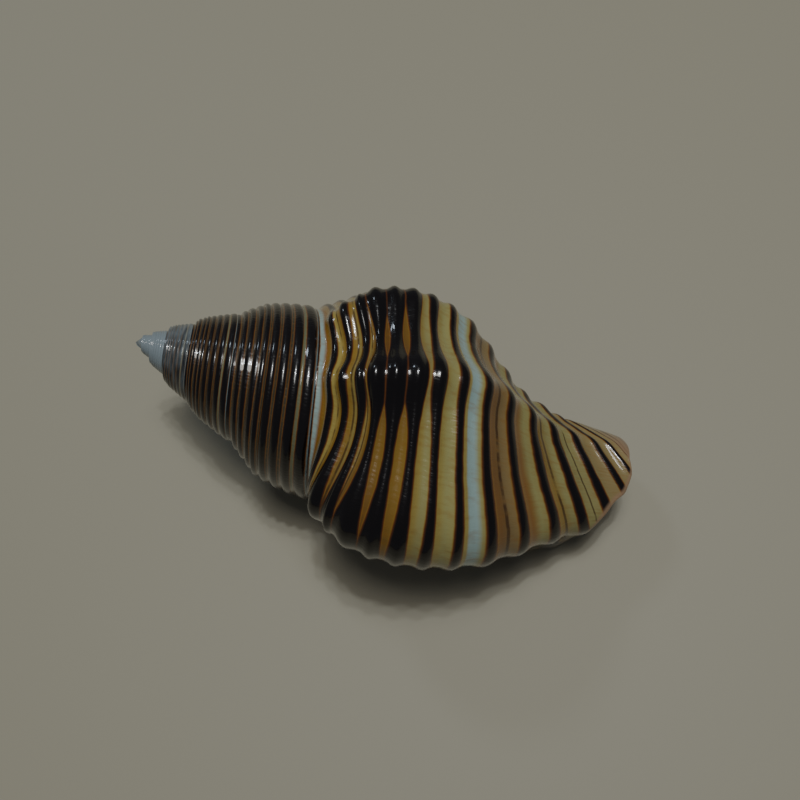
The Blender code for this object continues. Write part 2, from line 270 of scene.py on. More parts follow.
# Where each of these comes in: the value at which it is still absent and the one at which it is
# whole. Turns are counted from the lip, and levels are of noise.
SPIRE_TURNS = (-0.85, -1.05)
STREAK_LEVELS, STREAK_STRENGTH = (0.45, 0.75), 0.3
GAP_LINE_LEVELS, GAP_LINE_RAGGED, GAP_LINE_STRENGTH = (-0.16, 0.02), 0.4, 0.75
GAP_LINE_CORE = 0.4
CANAL_CORDS, CANAL_TURNS = (15.3, 16.6), (-0.16, -0.03)
MARGIN_TURNS, MARGIN_PATCHES = (-0.016, -0.006), 0.01
CORAL_STRENGTH = 0.85
TIP_TURNS, TIP_PATCHES, TIP_STRENGTH = (-2.9, -4.0), 0.9, 0.9
WARM_TURNS, WARM_STRENGTH = (-0.12, 0.0), 0.8

# The fine relief along and across the growth lines, and how rough each part of the surface is.
LINE_HEIGHT, GRAIN_HEIGHT = 0.75, 0.25
BUMP = {"Strength": 0.32, "Distance": 0.00012}
ROUGHNESS, SPIRE_ROUGHER, TIP_ROUGHER, LINES_ROUGHER = 0.26, 0.06, 0.2, 0.1

# What is the same all over each material.
OUTSIDE_FINISH = {
    "Specular IOR Level": 0.2, "Coat Weight": 0.9, "Coat Roughness": 0.03, "Coat IOR": 1.5,
}
INSIDE_FINISH = {"Roughness": 0.2, "Coat Weight": 0.5, "Coat Roughness": 0.08}
TABLE_FINISH = {"Roughness": 0.6}

# Sockets of the Mix node that take and give colours.
MIX_FACTOR, MIX_A, MIX_B, MIX_RESULT = 0, 6, 7, 2

# Each lamp: its name, its width in metres, its share of the power, its place and its colour.
LAMPS = (
    ("soft_lamp", 0.12, 0.52, (0.01, 0.035, 0.36), (1.0, 0.98, 0.93)),
    ("lamp_1", 0.010, 0.14, (0.000, 0.045, 0.36), (0.86, 0.93, 1.0)),
    ("lamp_2", 0.010, 0.14, (0.035, 0.040, 0.36), (0.86, 0.93, 1.0)),
    ("lamp_3", 0.010, 0.14, (0.018, 0.070, 0.36), (0.86, 0.93, 1.0)),
    ("window", 0.06, 0.20, (-0.25, 0.20, 0.30), (0.75, 0.87, 1.0)),
)


def smooth(x):
    x = min(max(x, 0.0), 1.0)
    return x * x * (3 - 2 * x)


def blend(a, b, share):
    return a + (b - a) * share


def growth(turn):
    """Scale of the radius and of the distance from the tip, against the lip's."""
    early = 1 - smooth(1 - turn / EARLY_TURN)
    wide = math.exp(RADIAL_RATE * turn + RADIAL_BEND * turn * turn)
    long = math.exp(AXIAL_RATE * turn + AXIAL_BEND * turn * turn)
    return wide * (1 + EARLY_WIDER * early), long * (1 + EARLY_LONGER * early)


def between(points, place):
    """A smooth curve through evenly numbered points, read at a place such as 2.5."""
    first = min(max(int(math.floor(place)), 0), len(points) - 2)
    x = place - first
    near = [points[min(max(first + ahead, 0), len(points) - 1)] for ahead in (-1, 0, 1, 2)]
    weights = (
        -0.5 * x + x * x - 0.5 * x**3,
        1 - 2.5 * x * x + 1.5 * x**3,
        0.5 * x + 2 * x * x - 1.5 * x**3,
        -0.5 * x * x + 0.5 * x**3,
    )
    return [sum(w * p[axis] for w, p in zip(weights, near)) for axis in range(len(points[0]))]


def lag(turn, cord):
    """How far a growth line lags at a cord, in turns. Most of a whorl back the lag is gone."""
    if cord <= LIP_LAG_START or turn <= -LAG_TURNS:
        return 0.0
    place = min(cord - LIP_LAG_START, len(LIP_LAG) - 1.0)
    return between(LIP_LAG, place)[0] / 360 * smooth(turn / LAG_TURNS + 1)


def fold_height(turn, cord):
    if turn < FOLDS_START:
        return 0.0
    degrees = 360 * turn
    spread = FOLD_SPREAD_ABOVE if cord < FOLD_CORD else FOLD_SPREAD_BELOW
    share = math.exp(-(((cord - FOLD_CORD) / spread) ** 2))
    height = 0.0
    for angle, rise, width, slant in FOLDS:
        away = (degrees - angle - slant * (cord - FOLD_SLANT_CORD)) / width
        height += rise * math.exp(-away * away)
    return height * share * smooth((turn - FOLDS_START) / FOLDS_TURNS)


def fullness(turn, cord):
    """The spire's whorls keep their width down to the suture, so their sides run flatter."""
    if cord <= SUTURE_CORD:
        share = (cord / SUTURE_CORD) ** FULLNESS_POWER
    else:
        share = 1 - smooth((cord - SUTURE_CORD) / FULL_CORDS)
    fuller = FULLNESS + MORE_FULLNESS * smooth(MORE_START - turn)
    fuller *= share * smooth((FULL_START - turn) / FULL_TURNS)
    middle = math.sin(math.pi * min(cord / SUTURE_CORD, 1.0))
    return (1 + fuller) * (1 - FLATNESS * middle * smooth(FLAT_START - turn))


def outline_point(turn, cord, rise=0.0, lag_share=1.0):
    """(radius, distance from the tip, angle) on the whorl's outline, rise mm proud of it."""
    grown = turn + lag(turn, cord) * lag_share
    wide, long = growth(grown)
    radius, reach = between(OUTLINE, cord)
    ahead = between(OUTLINE, min(cord + HALF_CORD, OUTLINE_END))
    behind = between(OUTLINE, max(cord - HALF_CORD, 0.0))
    out = Vector(((ahead[1] - behind[1]) * long, (behind[0] - ahead[0]) * wide)).normalized()
    radius = radius * wide * fullness(turn, cord) + rise * out.x
    return radius, reach * long + rise * out.y, 2 * math.pi * grown


def in_space(radius, reach, angle):
    """A point in the shell's frame. The canal and the spire each bend a little to one side."""
    bend = CANAL_BEND * max(0.0, (reach - BEND_START) / (PILLAR_REACH - BEND_START)) ** 2
    lean = LEAN * max(0.0, 1 - reach / LEAN_END) ** 2
    around = ((radius, angle), (bend, math.radians(BEND_ANGLE)), (lean, math.radians(LEAN_ANGLE)))
    return Vector((
        sum(far * math.cos(turned) for far, turned in around),
        sum(far * math.sin(turned) for far, turned in around),
        reach,
    ))


def pillar_point(turn, share, rise=0.0):
    """A point on the pillar, from the end of the cords (share 0) to the canal's end (1)."""
    radius, reach, angle = outline_point(turn, OUTLINE_END)
    end_radius = PILLAR_RADIUS * math.exp(PILLAR_RATE * turn)
    end_reach = PILLAR_REACH - PILLAR_NOTCH * smooth(-turn / NOTCH_TURN)
    down = min(share, 1.0)
    return in_space(
        radius + (end_radius - radius) * down**PILLAR_FULLNESS + rise,
        reach + (end_reach - reach) * share,
        angle + math.radians(PILLAR_TWIST) * down * down,
    )


def relief(turn, cord):
    """How far the surface lies under the crests of the cords.

    The last whorl has narrow cords with a fine thread between them, and the spire broad ones.
    """
    sizes = bpy.context.scene.whelk_sizes
    away = abs(cord - round(cord))
    spire = smooth(-turn - SPIRE_CORDS_FROM)
    width = blend(sizes.cord_width, sizes.spire_cord_width, spire)
    flat = blend(CORD_FLATNESS, SPIRE_CORD_FLATNESS, spire)
    crest = math.exp(-((away / width) ** flat))
    thread = THREAD * math.exp(-(((0.5 - away) / THREAD_WIDTH) ** 2)) * (1 - spire)
    fade = smooth((LAST_CORD + 1 - cord) / RELIEF_FADE)
    fade *= 1 - SMOOTH_LIP * smooth(cord - SMOOTH_CORD) * smooth(1 + turn / SMOOTH_TURN)
    return sizes.cord_relief * growth(turn)[0] * fade * (1 - max(crest, thread))


def unevenness(turn, cord):
    """Slow swells, since no shell grows quite evenly."""
    size = growth(turn)[0]
    where = Vector((math.cos(2 * math.pi * turn), math.sin(2 * math.pi * turn), turn))
    return SWELL * size * noise.noise(where * SWELL_RATE + Vector((0, 0, cord * SWELL_CORDS)))


def laid_rise(turn, place):
    """How far the folds, the cords and the rest move the surface off the plain outline."""
    rise = fold_height(turn + lag(turn, place), place) - relief(turn, place)
    return rise + unevenness(turn, place) + lip_rise(turn)


def laid_point(turn, place):
    return in_space(*outline_point(turn, place, laid_rise(turn, place)))


def lip_rise(turn):
    """How far the surface drops at the lip, whose edge is rounded."""
    share = min(max(turn / LIP_ROUND_TURN + 1, 0.0), 1.0)
    return LIP_ROUND * (math.sqrt(1 - share * share) - 1)


def outer_point(turn, place):
    """A point of the outer surface. Past the end of the cords, place runs down the pillar."""
    if place > OUTLINE_END:
        share = (place - OUTLINE_END) / PILLAR_PLACES
        return pillar_point(turn, share, blend(laid_rise(turn, OUTLINE_END), lip_rise(turn), share))
    if place >= MEETING_CORD:
        return laid_point(turn, place)
    # The first cords are laid on the whorl before, wherever that has reached.
    suture = outer_point(turn - 1, SUTURE_CORD)
    shift = (suture - laid_point(turn, 0)) * (1 - smooth(place / MEETING_CORD))
    return laid_point(turn, place) + shift if place else suture


def door_point(share, place):
    """A point on the surface that shuts the mouth, share of the way in from the lip."""
    across = (place / (OUTLINE_END + PILLAR_PLACES)) ** DOOR_BIAS
    inner = SUTURE_CORD + (OUTLINE_END + PILLAR_PLACES - SUTURE_CORD) * across
    return outer_point(0.0, place).lerp(outer_point(-1.0, inner), share)


def hollow_point(turn, place):
    """A point of the mouth's hollow.

    Place runs from 0 to 1 down the outer wall, then past the canal's open side, and from 2 to 3
    back up the pillar.
    """
    canal = smooth((turn - CANAL_START) / (CANAL_END - CANAL_START))
    floor = CHAMBER_FLOOR + (OUTLINE_END - CHAMBER_FLOOR) * canal
    lip = smooth((turn + FLARE_TURN) / FLARE_TURN)
    size = growth(turn)[0]

    def outer_side(share):
        cord = CORNER_CORD + (floor - CORNER_CORD) * share
        thin = max(lip, smooth((cord - THIN_CORD) / THIN_CORDS))
        wall = (WALL + (THIN_WALL - WALL) * thin) * size
        tooth = TOOTH * math.exp(-(((turn - TOOTH_TURN) / TOOTH_WIDTH) ** 2))
        tooth *= math.cos(math.pi * cord) ** 2 * smooth((TOOTH_CORD - cord) / TOOTH_CORDS)
        bulge = LIP_FOLLOW * fold_height(turn + lag(turn, cord) * HOLLOW_LAG, cord)
        return outline_point(turn, cord, bulge - wall - tooth, HOLLOW_LAG)

    if place <= 1:
        return in_space(*outer_side(place))
    radius, reach, angle = outer_side(1)
    reach += OVERRUN * canal
    if place < 2:
        return in_space(radius, reach, angle)
    share = place - 2
    callus = CALLUS * size
    start = outline_point(turn - 1, OUTLINE_END)[1]
    deep = (reach - start) / (PILLAR_REACH - PILLAR_NOTCH - start)
    if share < PILLAR_SHARE:
        return pillar_point(turn - 1, deep * (1 - share / PILLAR_SHARE), callus)
    up = (share - PILLAR_SHARE) / (1 - PILLAR_SHARE)
    cord = OUTLINE_END + (SUTURE_CORD + CORNER_GAP - OUTLINE_END) * up
    return in_space(*outline_point(turn - 1, cord, callus))


def chain(bm, places, turn, place_of):
    """A row of vertices joined by edges, each of which remembers its turn and its place."""
    tags = bm.verts.layers.float
    place_tag = tags.get("place") or tags.new("place")
    turn_tag = tags.get("turn") or tags.new("turn")
    row = []
    for place in places:
        vert = bm.verts.new(place_of(turn, place))
        vert[place_tag], vert[turn_tag] = place, turn
        row.append(vert)
    return [bm.edges.new(pair) for pair in zip(row, row[1:])]


def grow(bm, edges, turns, place_of):
    """Extrudes a row of edges from turn to turn, as a shell grows at its lip."""
    place_tag, turn_tag = (bm.verts.layers.float[name] for name in ("place", "turn"))
    for turn in turns:
        made = bmesh.ops.extrude_edge_only(bm, edges=edges)["geom"]
        fresh = {item for item in made if isinstance(item, bmesh.types.BMVert)}
        for vert in fresh:
            vert.co = place_of(turn, vert[place_tag])
            vert[turn_tag] = turn
        edges = [
            item
            for item in made
            if isinstance(item, bmesh.types.BMEdge) and set(item.verts) <= fresh
        ]
    return edges


def row_at(bm, edges):
    """The vertices of a row of edges, in order along the outline."""
    tag = bm.verts.layers.float["place"]
    return sorted({vert for edge in edges for vert in edge.verts}, key=lambda vert: vert[tag])


def stitch(bm, left, right):
    """Joins two rows with triangles, each as short as it can be."""
    i = j = 0
    while i < len(left) - 1 or j < len(right) - 1:
        on_left = (left[i + 1].co - right[j].co).length if i < len(left) - 1 else math.inf
        on_right = (right[j + 1].co - left[i].co).length if j < len(right) - 1 else math.inf
        if on_left < on_right:
            bm.faces.new((left[i], left[i + 1], right[j]))
            i += 1
        else:
            bm.faces.new((left[i], right[j + 1], right[j]))
            j += 1


def remember(bm, material):
    """Writes each corner's turn and place, and how far it lags, as maps for the material."""
    place_tag, turn_tag = (bm.verts.layers.float[name] for name in ("place", "turn"))
    growth_map = bm.loops.layers.uv.new("growth")
    lag_map = bm.loops.layers.uv.new("lag")
    for face in bm.faces:
        face.material_index = material
        face.smooth = True
        for loop in face.loops:
            turn, place = loop.vert[turn_tag], loop.vert[place_tag]
            loop[growth_map].uv = turn, place
            loop[lag_map].uv = lag(turn, min(place, OUTLINE_END)), 0.0


def close_ends(bm):
    """Fills the open rims at the tip of the spire and at the canal, each with a fan."""
    rims = [edge for edge in bm.edges if edge.is_boundary]
    for face in bmesh.ops.holes_fill(bm, edges=rims, sides=0)["faces"]:
        middle = face.calc_center_median()
        proud = CANAL_PROUD if middle.z > PILLAR_REACH / 2 else -TIP_PROUD
        hub = bmesh.ops.poke(bm, faces=[face])["verts"][0]
        hub.co = middle + Vector((0, 0, proud))


def to_object(bm, name):
    bmesh.ops.remove_doubles(bm, verts=bm.verts, dist=WELD)
    bmesh.ops.dissolve_degenerate(bm, edges=bm.edges, dist=WELD)
    bmesh.ops.triangulate(bm, faces=bm.faces)
    bmesh.ops.recalc_face_normals(bm, faces=bm.faces)
    mesh = bpy.data.meshes.new(name)
    bm.to_mesh(mesh)
    bm.free()
    thing = bpy.data.objects.new(name, mesh)
    bpy.context.scene.collection.objects.link(thing)
    return thing


def whorls():
    """The whole outside of the shell, with the mouth still shut."""
    sizes = bpy.context.scene.whelk_sizes
    row = 1 / sizes.rows
    places = [i / sizes.columns for i in range(sizes.columns * OUTLINE_END + 1)]
    pillar_columns = PILLAR_COLUMNS * PILLAR_PLACES
    places += [OUTLINE_END + (i + 1) / PILLAR_COLUMNS for i in range(pillar_columns)]
    suture = places.index(SUTURE_CORD)
    spire_turns = [-WHORLS + row * (i + 1) for i in range((WHORLS - 1) * sizes.rows)]
    last_turns = [-1 + row * (i + 1) for i in range(sizes.rows)]
    last_turns[-1:] = [*(-LIP_ROUND_TURN / part for part in LIP_ROWS), 0.0]

    bm = bmesh.new()
    spire = chain(bm, places[: suture + 1], -WHORLS, outer_point)
    spire = grow(bm, spire, spire_turns, outer_point)
    wall = chain(bm, places[suture:], -1.0, outer_point)
    inner = row_at(bm, wall)
    lip = grow(bm, spire + wall, last_turns, outer_point)
    rim = grow(bm, lip, DOOR_SHARES, door_point)
    stitch(bm, row_at(bm, rim), inner)
    remember(bm, 0)
    bmesh.ops.remove_doubles(bm, verts=bm.verts, dist=WELD)
    close_ends(bm)
    return to_object(bm, PIECE)


def hollow():
    """What is taken out of the whorls to open the mouth and the canal."""
    bm = bmesh.new()
    span = OVERRUN_TURN + HOLLOW_TURNS
    shares = [((row + 1) / HOLLOW_ROWS) ** ROW_GROWTH for row in range(HOLLOW_ROWS)]
    turns = [OVERRUN_TURN - span * share for share in shares]
    places = [i / WALL_STEPS for i in range(WALL_STEPS + 1)]
    places.append(PAST_CANAL)
    places += [2 + i / PILLAR_STEPS for i in range(PILLAR_STEPS + 1)]
    ring = chain(bm, places, OVERRUN_TURN, hollow_point)
    front = row_at(bm, ring)
    ring.append(bm.edges.new((front[-1], front[0])))
    back = row_at(bm, grow(bm, ring, turns, hollow_point))
    for row in (front, back):
        stitch(bm, row[: WALL_STEPS + 2], row[: WALL_STEPS + 1 : -1])
    remember(bm, 1)
    return to_object(bm, "hollow")


def open_mouth(shell, cutter):
    """Takes the cutter out of the shell, and then out of the scene."""
    cut = shell.modifiers.new("mouth", "BOOLEAN")
    cut.operation, cut.solver, cut.object = "DIFFERENCE", "EXACT", cutter
    graph = bpy.context.evaluated_depsgraph_get()
    mesh = bpy.data.meshes.new_from_object(shell.evaluated_get(graph))
    shell.modifiers.clear()
    shell.data = mesh
    bpy.data.objects.remove(cutter)


def rest_turn():
    """Turns the shell's own frame to how it lies on the table."""
    dip = Matrix.Rotation(math.radians(90 + REST_DIP), 3, "Y")
    return dip @ Matrix.Rotation(math.radians(REST_ROLL), 3, "Z")


def lay_down(shell):
    """Lays the shell on its mouth, worn flat where it touches, inside the solid's box."""
    bm = bmesh.new()
    bm.from_mesh(shell.data)
    lay = Matrix.Translation(-REST_SHIFT * MM) @ Matrix.Scale(MM, 4) @ rest_turn().to_4x4()
    bmesh.ops.transform(bm, matrix=lay, verts=bm.verts)
    fit_in_box(bm)
    bmesh.ops.bisect_plane(
        bm, geom=bm.verts[:] + bm.edges[:] + bm.faces[:], dist=WELD * MM,
        plane_co=(0, 0, 0), plane_no=(0, 0, -1), clear_outer=True,
    )
    rims = [edge for edge in bm.edges if edge.is_boundary]
    bmesh.ops.holes_fill(bm, edges=rims, sides=0)
    bmesh.ops.triangulate(bm, faces=bm.faces)
    bm.to_mesh(shell.data)
    bm.free()


def fit_in_box(bm):
    """Brings fine curves, which bulge a hair past the solid's flat facets, back in its box."""
    low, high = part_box(SOLID)
    for axis in (0, 1):
        spots = [vert.co[axis] for vert in bm.verts]
        share = (high[axis] - low[axis]) / (max(spots) - min(spots))
        shift = low[axis] - share * min(spots)
        for vert in bm.verts:
            vert.co[axis] = share * vert.co[axis] + shift
    share = min(high[2] / max(vert.co.z for vert in bm.verts), 1.0)
    for vert in bm.verts:
        if vert.co.z > 0:
            vert.co.z *= share


class Shade:
    """A socket of a shader. Python's own signs on it add Math nodes."""

    def __init__(self, tree, socket):
        self.tree, self.socket = tree, socket

    def math(self, operation, *values, clamp=False):
        settings = {"operation": operation, "use_clamp": clamp}
        return node(self.tree, "ShaderNodeMath", settings, dict(enumerate(values)))

    def __add__(self, other):
        return self.math("ADD", self, other)

    def __radd__(self, other):
        return self.math("ADD", other, self)

    def __sub__(self, other):
        return self.math("SUBTRACT", self, other)

    def __rsub__(self, other):
        return self.math("SUBTRACT", other, self)

    def __mul__(self, other):
        return self.math("MULTIPLY", self, other)

    def __rmul__(self, other):
        return self.math("MULTIPLY", other, self)

    def __truediv__(self, other):
        return self.math("DIVIDE", self, other)

    def __neg__(self):
        return self.math("MULTIPLY", self, -1.0)

    def __abs__(self):
        return self.math("ABSOLUTE", self)

    def __round__(self):
        return self.math("ROUND", self)

    def clamped(self):
        return self.math("ADD", self, 0.0, clamp=True)


def node(tree, kind, settings=None, feeds=None, out=0):
    """Adds a node: its settings first, then a value or a link for each socket it names."""
    made = tree.nodes.new(kind)
    for name, value in (settings or {}).items():
        if name == "stops":
            set_stops(made.color_ramp.elements, value)
        else:
            setattr(made, name, value)
    for socket, value in (feeds or {}).items():
        if isinstance(value, Shade):
            tree.links.new(value.socket, made.inputs[socket])
        else:
            made.inputs[socket].default_value = value
    return Shade(tree, made.outputs[out])


def set_stops(elements, stops):
    """Fills a ramp. A stop is (place, grey) or (place, (red, green, blue))."""
    while len(elements) < len(stops):
        elements.new(1.0)
    for element, (place, colour) in zip(elements, stops):
        grey = isinstance(colour, (int, float))
        element.position = place
        element.color = (*((colour,) * 3 if grey else colour), 1.0)


def ramp(value, stops):
    return node(value.tree, "ShaderNodeValToRGB", {"stops": stops}, {0: value})


def step(value, low, high):
    """0 below low, 1 above high, and smooth between."""
    feeds = {0: value, 1: low, 2: high}
    settings = {"interpolation_type": "SMOOTHSTEP"}
    return node(value.tree, "ShaderNodeMapRange", settings, feeds)


def mix(factor, first, second):
    """Mixes two colours, each a link or (red, green, blue)."""
    settings = {"data_type": "RGBA", "clamp_factor": True}
    sides = [side if isinstance(side, Shade) else (*side, 1.0) for side in (first, second)]
    feeds = {MIX_FACTOR: factor, MIX_A: sides[0], MIX_B: sides[1]}
    return node(factor.tree, "ShaderNodeMix", settings, feeds, MIX_RESULT)


def grown_noise(turn, cord, per_turn, per_cord, detail, seed):
    """Noise along the whorls: so many grains in a turn, and so many from cord to cord."""
    feeds = {0: turn * per_turn, 1: cord * per_cord, 2: seed}
    where = node(turn.tree, "ShaderNodeCombineXYZ", {}, feeds)
    feeds = {"Vector": where, "Scale": 1.0, "Detail": detail}
    return node(turn.tree, "ShaderNodeTexNoise", {}, feeds)


def read_map(tree, name):
    """The two values that each corner of the mesh keeps in a map."""
    where = node(tree, "ShaderNodeUVMap", {"uv_map": name})
    return [node(tree, "ShaderNodeSeparateXYZ", {}, {0: where}, out) for out in (0, 1)]


def fresh_material(name, finish):
    """A material and its surface, on which what is the same all over is already set."""
    material = bpy.data.materials.new(name)
    material.use_nodes = True
    surface = material.node_tree.nodes["Principled BSDF"]
    for socket, value in finish.items():
        surface.inputs[socket].default_value = value
    return material, surface


def colour_ramp(value, table):
    """A ramp through colours that a table names."""
    colours = bpy.context.scene.whelk_colours
    return ramp(value, [(at, getattr(colours, name)[:]) for at, name in table])


def ground_colour(place, table):
    return colour_ramp(place / LAST_PLACE, [(at / LAST_PLACE, name) for at, name in table])


def added(values):
    return sum(values[1:], values[0])


def blot(grown, cord, angle, half, slant, middle, reach, strength):
    """A soft-edged patch: strength in its middle, falling away along and across the cords."""
    along = (grown * 360.0 - angle - (cord - STAIN_CORD) * slant) / half
    across = (cord - middle) / reach
    fall = -(along * along + across * across)
    return fall.math("EXPONENT", fall) * strength


def blots(grown, cord, table):
    return added([blot(grown, cord, *row) for row in table])


def line_at(cord, place, half):
    """A thin line along the cords, whole in its core and soft at its edges."""
    return step(abs(cord - place), half, half * GAP_LINE_CORE)


def banded_colour(grown, cord, patches, spire):
    """The dark bands, the ground between them and the thin lines that run down some gaps."""
    colours = bpy.context.scene.whelk_colours
    wave = grown_noise(grown, cord, *WAVE_NOISE) - NOISE_MIDDLE
    ragged = grown_noise(grown, cord, *RAGGED_NOISE) - NOISE_MIDDLE
    cord_here = cord + wave * WAVINESS + ragged * RAGGEDNESS
    nearest = round(cord_here)

    widths = [(place / LAST_PLACE, width) for place, width in enumerate(BAND_WIDTHS)]
    own_width = ramp(nearest / LAST_PLACE, widths)
    width = own_width + (SPIRE_BAND_WIDTH - own_width) * spire
    width = width + blots(grown, cord, STAINS) * (1 - spire)
    width = width.math("MINIMUM", width, WIDEST_BAND) + patches * BAND_PATCHES
    # 0 in the middle of a dark band, 1 on clear ground.
    clear = (abs(cord_here - nearest) - width) * BAND_CONTRAST + BAND_EDGE

    browned = blots(grown, cord, BROWNINGS) + patches * BROWN_PATCHES
    ground = mix(browned.clamped(), ground_colour(cord_here, GROUND), colours.rust[:])
    ground = mix(spire, ground, ground_colour(cord_here, SPIRE_GROUND))
    streaks = step(grown_noise(grown, cord, *STREAK_NOISE), *STREAK_LEVELS)
    ground = mix(streaks * STREAK_STRENGTH, ground, colours.amber[:])
    colour = mix(step(clear, *CLEAR_LEVELS), colour_ramp(clear, PIGMENTS), ground)

    lines = added([line_at(cord_here, *row) for row in GAP_LINES])
    broken = step(patches + ragged * GAP_LINE_RAGGED, *GAP_LINE_LEVELS)
    return mix(lines * broken * (1 - spire) * GAP_LINE_STRENGTH, colour, colours.umber[:])


def worn_colour(colour, turn, cord, patches, tip):
    """The canal and the lip's margin turn coral, and the tip is worn to a bluish white."""
    colours = bpy.context.scene.whelk_colours
    canal = step(cord, *CANAL_CORDS) * step(turn, *CANAL_TURNS)
    margin = step(turn + patches * MARGIN_PATCHES, *MARGIN_TURNS)
    for share in (canal, margin):
        colour = mix(share * CORAL_STRENGTH, colour, colours.coral[:])
    return mix(tip * TIP_STRENGTH, colour, colours.tip[:])


def outside_material():
    """Near-black bands on a ground that goes from ice and straw to rust, under a wet gloss."""
    material, surface = fresh_material("banded_shell", OUTSIDE_FINISH)
    tree = material.node_tree
    turn, cord = read_map(tree, "growth")
    grown = turn + read_map(tree, "lag")[0]
    patches = grown_noise(grown, cord, *PATCH_NOISE) - NOISE_MIDDLE
    spire = step(grown, *SPIRE_TURNS)
    tip = step(turn + patches * TIP_PATCHES, *TIP_TURNS)
    colour = banded_colour(grown, cord, patches, spire)
    colour = worn_colour(colour, turn, cord, patches, tip)
    tree.links.new(colour.socket, surface.inputs["Base Color"])

    lines = grown_noise(grown, cord, *LINE_NOISE)
    grain = grown_noise(grown, cord, *GRAIN_NOISE)
    height = lines * LINE_HEIGHT + grain * GRAIN_HEIGHT
    bump = node(tree, "ShaderNodeBump", {}, {**BUMP, "Height": height})
    tree.links.new(bump.socket, surface.inputs["Normal"])
    rough = ROUGHNESS + spire * SPIRE_ROUGHER + tip * TIP_ROUGHER
    rough = rough + (lines - NOISE_MIDDLE) * LINES_ROUGHER
    tree.links.new(rough.clamped().socket, surface.inputs["Roughness"])
    return material


def inside_material():
    """White enamel, warmer towards the lip."""
    colours = bpy.context.scene.whelk_colours
    material, surface = fresh_material("mouth_enamel", INSIDE_FINISH)
    tree = material.node_tree
    warm = step(read_map(tree, "growth")[0], *WARM_TURNS)
    colour = mix(warm * WARM_STRENGTH, colours.enamel[:], colours.coral[:])
    tree.links.new(colour.socket, surface.inputs["Base Color"])
    return material


def table_material(colour):
    material, surface = fresh_material("pale_table", TABLE_FINISH)
    surface.inputs["Base Color"].default_value = (*colour, 1.0)
    return material


def stage_floor(settings):
    bm = bmesh.new()
    bmesh.ops.create_grid(bm, x_segments=1, y_segments=1, size=settings.floor_size / 2)
    mesh = bpy.data.meshes.new("table_top")
    bm.to_mesh(mesh)
    bm.free()
    floor = bpy.data.objects.new("table_top", mesh)
    bpy.context.scene.collection.objects.link(floor)
    mesh.materials.append(table_material(settings.floor_colour[:]))
    floor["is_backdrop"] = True


def area_light(name, size, power, place, colour):
    """A square lamp that looks at the shell."""
    data = bpy.data.lights.new(name, "AREA")
    data.shape, data.size, data.energy, data.color = "SQUARE", size, power, colour
    lamp = bpy.data.objects.new(name, data)
    lamp.location = place
    lamp.rotation_euler = Vector(place).to_track_quat("Z", "Y").to_euler()
    bpy.context.scene.collection.objects.link(lamp)


def photograph_camera():
    """The photograph's camera, carried from the shell's own frame to how the shell lies."""
    turn = Matrix.Rotation(CAMERA_TURN.length, 3, CAMERA_TURN.normalized())
    lay = rest_turn()
    eye = -(turn.transposed() @ CAMERA_SHIFT)
    # The fitted camera looks along +Z with Y down, and Blender's looks along -Z with Y up.
    flip = Matrix.Diagonal((1, -1, -1))
    data = bpy.data.cameras.new("camera")
    data.sensor_width = SENSOR_MM
    data.lens = FOCAL_PIXELS / PICTURE_PIXELS * SENSOR_MM
    data.clip_start = MM
    camera = bpy.data.objects.new("camera", data)
    place = (lay @ eye - REST_SHIFT) * MM
    camera.matrix_world = Matrix.Translation(place) @ (lay @ turn.transposed() @ flip).to_4x4()
    bpy.context.scene.collection.objects.link(camera)
    bpy.context.scene.camera = camera


def studio_world(strength, colour):
    world = bpy.data.worlds.new("studio")
    world.use_nodes = True
    background = world.node_tree.nodes["Background"]
    background.inputs["Color"].default_value = (*colour, 1.0)
    background.inputs["Strength"].default_value = strength
    bpy.context.scene.world = world


def colour_setting(name, description, default):
    return bpy.props.FloatVectorProperty(
        name=name, description=description, default=default,
        size=3, min=0.0, max=1.0, subtype="COLOR",
    )


class WhelkSizes(bpy.types.PropertyGroup):
    """Sizes of the shell's surface."""

    cord_relief: bpy.props.FloatProperty(
        name="Cord relief", description="Height of a cord above the gap beside it, in millimetres",
        default=0.32, min=0.0, max=1.0,
    )
    cord_width: bpy.props.FloatProperty(
        name="Cord width", description="Half width of a cord of the last whorl, as a share of "
        "the way to the next cord", default=0.29, min=0.05, max=0.5, subtype="FACTOR",
    )
    spire_cord_width: bpy.props.FloatProperty(
        name="Spire cord width", description="Half width of a cord of the spire, as a share of "
        "the way to the next cord", default=0.40, min=0.05, max=0.5, subtype="FACTOR",
    )
    rows: bpy.props.IntProperty(
        name="Rows", description="Rows of the mesh in one whorl", default=144, min=16,
    )
    columns: bpy.props.IntProperty(
        name="Columns", description="Columns of the mesh from cord to cord", default=8, min=2,
    )


